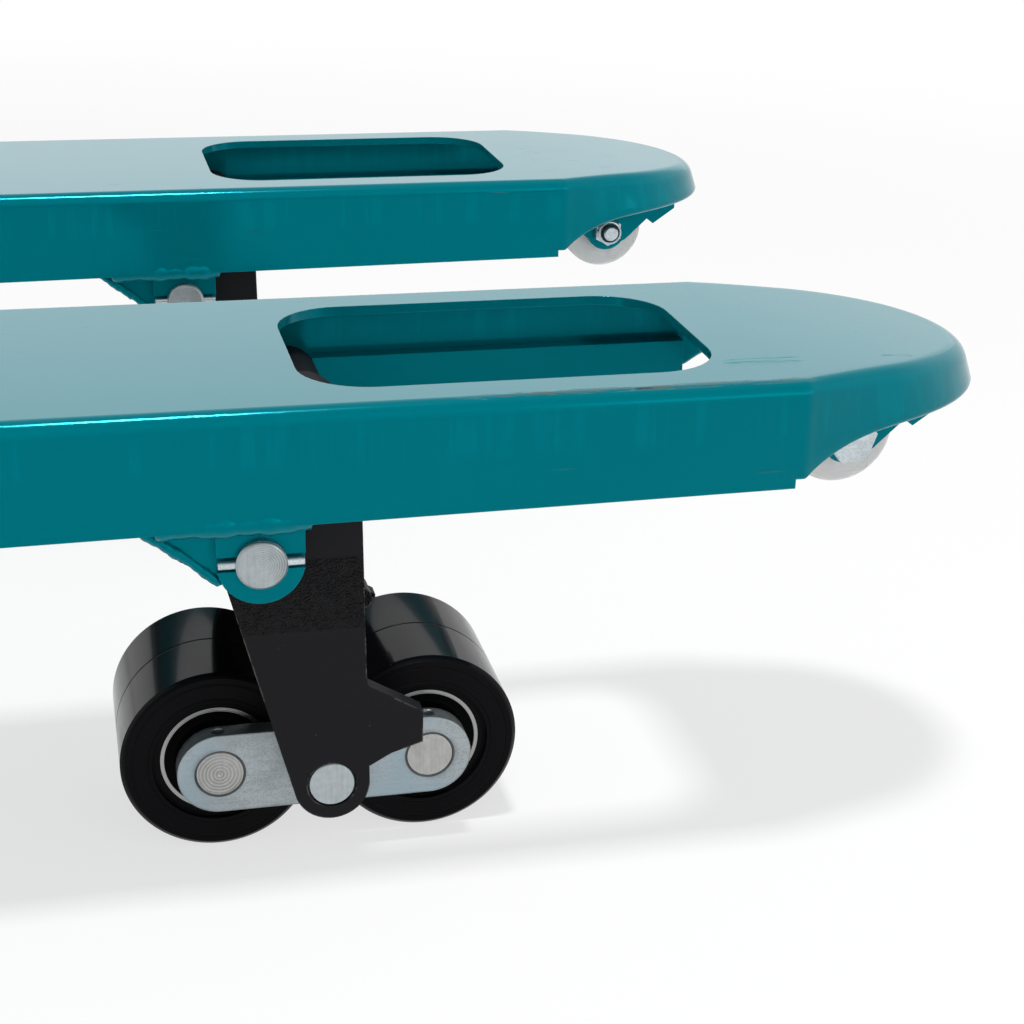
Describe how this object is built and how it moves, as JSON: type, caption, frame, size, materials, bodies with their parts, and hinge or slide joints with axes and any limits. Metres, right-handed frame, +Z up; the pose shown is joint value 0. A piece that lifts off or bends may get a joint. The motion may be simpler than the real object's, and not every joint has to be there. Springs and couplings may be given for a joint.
{
  "type": "pallet truck",
  "caption": "Hand pallet truck with raised steel forks, tandem load rollers on swinging arms, push rods, lift crank, hydraulic pump, steering wheels and a tilting tiller with a loop handle.",
  "frame": {"origin": "on the floor, under the middle of the whole truck", "axes": "+X runs from the tiller along the forks to their tips, +Y across the truck to the operator's left, +Z up"},
  "size_m": [1.5408, 0.54, 1.2229],
  "materials": {
    "fork_paint": "gloss teal paint, worn on the edges",
    "pump_paint": "gloss teal paint on a casting",
    "black_paint": "satin black paint",
    "zinc_plate": "zinc plated",
    "turned_steel": "turned and oiled",
    "fasteners": "bright zinc",
    "piston_chrome": "polished hard chrome",
    "bearing_steel": "ground, with black seals",
    "roller_rubber": "glossy black polyurethane",
    "entry_nylon": "white nylon",
    "hub_iron": "machined cast iron",
    "handle_plastic": "moulded black plastic",
    "lever_plastic": "moulded dark grey plastic"
  },
  "bodies": {
    "chassis": {"fork_left": "fork_paint", "fork_right": "fork_paint", "fork_nose_left": "fork_paint", "fork_nose_right": "fork_paint", "fork_rails": "fork_paint", "pivot_brackets": "fork_paint", "arm_pivot_pins": "turned_steel", "pivot_roll_pins": "fasteners", "entry_roller_cheeks": "fork_paint", "entry_roller_bolts": "fasteners", "entry_roller_nuts": "fasteners", "heel_plate": "fork_paint", "head_frame": "fork_paint", "lift_piston": "piston_chrome"},
    "crank": {"lift_crank": "black_paint"},
    "lift_collar": {"thrust_collar": "black_paint", "thrust_bearing": "bearing_steel"},
    "pump_unit": {"pump_body": "pump_paint", "oil_tank": "pump_paint", "steer_axle": "turned_steel", "axle_circlips": "fasteners", "tiller_pivot_pin": "turned_steel"},
    "plunger": {"pump_plunger": "piston_chrome"},
    "tiller": {"tiller_yoke": "black_paint", "tiller_tube": "black_paint", "handle_loop": "handle_plastic"},
    "pressure_wheel": {"pressure_roller": "turned_steel"},
    "control": {"control_lever": "lever_plastic"},
    "release": {"release_rod": "turned_steel"},
    "valve": {"valve_lever": "zinc_plate"},
    "arm_left": {"wheel_arm_left": "black_paint", "rod_pin_left": "turned_steel"},
    "rocker_pivot_left": {"rocker_pins_left": "turned_steel"},
    "rocker_left": {"rocker_plates_left": "zinc_plate", "wheel_axles_left": "turned_steel", "axle_set_pins_left": "fasteners"},
    "rod_left": {"push_rod_left": "black_paint"},
    "entry_wheel_left": {"entry_roller_left": "entry_nylon"},
    "steer_wheel_left": {"steer_tyre_left": "roller_rubber", "steer_hub_left": "hub_iron", "steer_bearings_left": "bearing_steel"},
    "load_wheel_left_rear": {"load_roller_left_rear": "roller_rubber", "load_bearings_left_rear": "bearing_steel"},
    "load_wheel_left_front": {"load_roller_left_front": "roller_rubber", "load_bearings_left_front": "bearing_steel"},
    "arm_right": {"wheel_arm_right": "black_paint", "rod_pin_right": "turned_steel"},
    "rocker_pivot_right": {"rocker_pins_right": "turned_steel"},
    "rocker_right": {"rocker_plates_right": "zinc_plate", "wheel_axles_right": "turned_steel", "axle_set_pins_right": "fasteners"},
    "rod_right": {"push_rod_right": "black_paint"},
    "entry_wheel_right": {"entry_roller_right": "entry_nylon"},
    "steer_wheel_right": {"steer_tyre_right": "roller_rubber", "steer_hub_right": "hub_iron", "steer_bearings_right": "bearing_steel"},
    "load_wheel_right_rear": {"load_roller_right_rear": "roller_rubber", "load_bearings_right_rear": "bearing_steel"},
    "load_wheel_right_front": {"load_roller_right_front": "roller_rubber", "load_bearings_right_front": "bearing_steel"}
  },
  "joints": [
    {"name": "lift", "type": "slide", "parent": "chassis", "child": "lift_collar", "axis": [0, 0, 1], "range_m": [0, 0.12]},
    {"name": "crank_turn", "type": "hinge", "parent": "chassis", "child": "crank", "pos_m": [-0.4396, 0, 0.255], "axis": [0, 1, 0], "range_deg": [0, 37.33]},
    {"name": "steer", "type": "hinge", "parent": "lift_collar", "child": "pump_unit", "pos_m": [-0.61733, 0, 0.195], "axis": [0, 0, 1], "range_deg": [-90, 90]},
    {"name": "tiller_swing", "type": "hinge", "parent": "pump_unit", "child": "tiller", "pos_m": [-0.71233, 0, 0.346], "axis": [0, -1, 0], "range_deg": [0, 80]},
    {"name": "plunger_stroke", "type": "slide", "parent": "pump_unit", "child": "plunger", "axis": [0, 0, -1], "range_m": [0, 0.0415]},
    {"name": "pressure_spin", "type": "hinge", "parent": "tiller", "child": "pressure_wheel", "pos_m": [-0.73684, 0, 0.36657], "axis": [0, 1, 0], "continuous": true},
    {"name": "control_tilt", "type": "hinge", "parent": "tiller", "child": "control", "pos_m": [-0.65813, 0, 1.12111], "axis": [0, 1, 0], "range_deg": [-12, 12], "stiffness_Nm_per_rad": 1.5},
    {"name": "release_pull", "type": "slide", "parent": "tiller", "child": "release", "axis": [0.0698, 0, 0.9976], "range_m": [-0.007, 0.007]},
    {"name": "valve_tilt", "type": "hinge", "parent": "pump_unit", "child": "valve", "pos_m": [-0.69033, 0.043, 0.27], "axis": [0, 1, 0], "range_deg": [-12.1, 12.1]},
    {"name": "arm_swing_left", "type": "hinge", "parent": "chassis", "child": "arm_left", "pos_m": [0.4524, 0.19, 0.145], "axis": [0, -1, 0], "range_deg": [0, 83.36]},
    {"name": "rocker_level_left", "type": "hinge", "parent": "arm_left", "child": "rocker_pivot_left", "pos_m": [0.4798, 0.19, 0.04], "axis": [0, 1, 0], "range_deg": [0, 83.36]},
    {"name": "rocker_tilt_left", "type": "hinge", "parent": "rocker_pivot_left", "child": "rocker_left", "pos_m": [0.4798, 0.19, 0.04], "axis": [0, 1, 0], "range_deg": [-8, 8]},
    {"name": "rod_turn_left", "type": "hinge", "parent": "arm_left", "child": "rod_left", "pos_m": [0.47932, 0.19, 0.17526], "axis": [0, 1, 0], "range_deg": [0, 83.36]},
    {"name": "entry_spin_left", "type": "hinge", "parent": "chassis", "child": "entry_wheel_left", "pos_m": [0.7064, 0.19, 0.166], "axis": [0, 1, 0], "continuous": true},
    {"name": "steer_spin_left", "type": "hinge", "parent": "pump_unit", "child": "steer_wheel_left", "pos_m": [-0.61733, 0.072, 0.09], "axis": [0, 1, 0], "continuous": true},
    {"name": "load_spin_left_rear", "type": "hinge", "parent": "rocker_left", "child": "load_wheel_left_rear", "pos_m": [0.436, 0.19, 0.04], "axis": [0, 1, 0], "continuous": true},
    {"name": "load_spin_left_front", "type": "hinge", "parent": "rocker_left", "child": "load_wheel_left_front", "pos_m": [0.5236, 0.19, 0.04], "axis": [0, 1, 0], "continuous": true},
    {"name": "arm_swing_right", "type": "hinge", "parent": "chassis", "child": "arm_right", "pos_m": [0.4524, -0.19, 0.145], "axis": [0, -1, 0], "range_deg": [0, 83.36]},
    {"name": "rocker_level_right", "type": "hinge", "parent": "arm_right", "child": "rocker_pivot_right", "pos_m": [0.4798, -0.19, 0.04], "axis": [0, 1, 0], "range_deg": [0, 83.36]},
    {"name": "rocker_tilt_right", "type": "hinge", "parent": "rocker_pivot_right", "child": "rocker_right", "pos_m": [0.4798, -0.19, 0.04], "axis": [0, 1, 0], "range_deg": [-8, 8]},
    {"name": "rod_turn_right", "type": "hinge", "parent": "arm_right", "child": "rod_right", "pos_m": [0.47932, -0.19, 0.17526], "axis": [0, 1, 0], "range_deg": [0, 83.36]},
    {"name": "entry_spin_right", "type": "hinge", "parent": "chassis", "child": "entry_wheel_right", "pos_m": [0.7064, -0.19, 0.166], "axis": [0, 1, 0], "continuous": true},
    {"name": "steer_spin_right", "type": "hinge", "parent": "pump_unit", "child": "steer_wheel_right", "pos_m": [-0.61733, -0.072, 0.09], "axis": [0, 1, 0], "continuous": true},
    {"name": "load_spin_right_rear", "type": "hinge", "parent": "rocker_right", "child": "load_wheel_right_rear", "pos_m": [0.436, -0.19, 0.04], "axis": [0, 1, 0], "continuous": true},
    {"name": "load_spin_right_front", "type": "hinge", "parent": "rocker_right", "child": "load_wheel_right_front", "pos_m": [0.5236, -0.19, 0.04], "axis": [0, 1, 0], "continuous": true}
  ],
  "couplings": [
    {"joint": "crank_turn", "follows": "lift", "rad_per_m": 5.4264},
    {"joint": "plunger_stroke", "follows": "tiller_swing", "m_per_rad": 0.029463},
    {"joint": "release_pull", "follows": "control_tilt", "m_per_rad": 0.03},
    {"joint": "valve_tilt", "follows": "control_tilt", "ratio": 1},
    {"joint": "arm_swing_left", "follows": "lift", "rad_per_m": 12.118},
    {"joint": "rocker_level_left", "follows": "lift", "rad_per_m": 12.118},
    {"joint": "rod_turn_left", "follows": "lift", "rad_per_m": 12.118},
    {"joint": "arm_swing_right", "follows": "lift", "rad_per_m": 12.118},
    {"joint": "rocker_level_right", "follows": "lift", "rad_per_m": 12.118},
    {"joint": "rod_turn_right", "follows": "lift", "rad_per_m": 12.118}
  ]
}
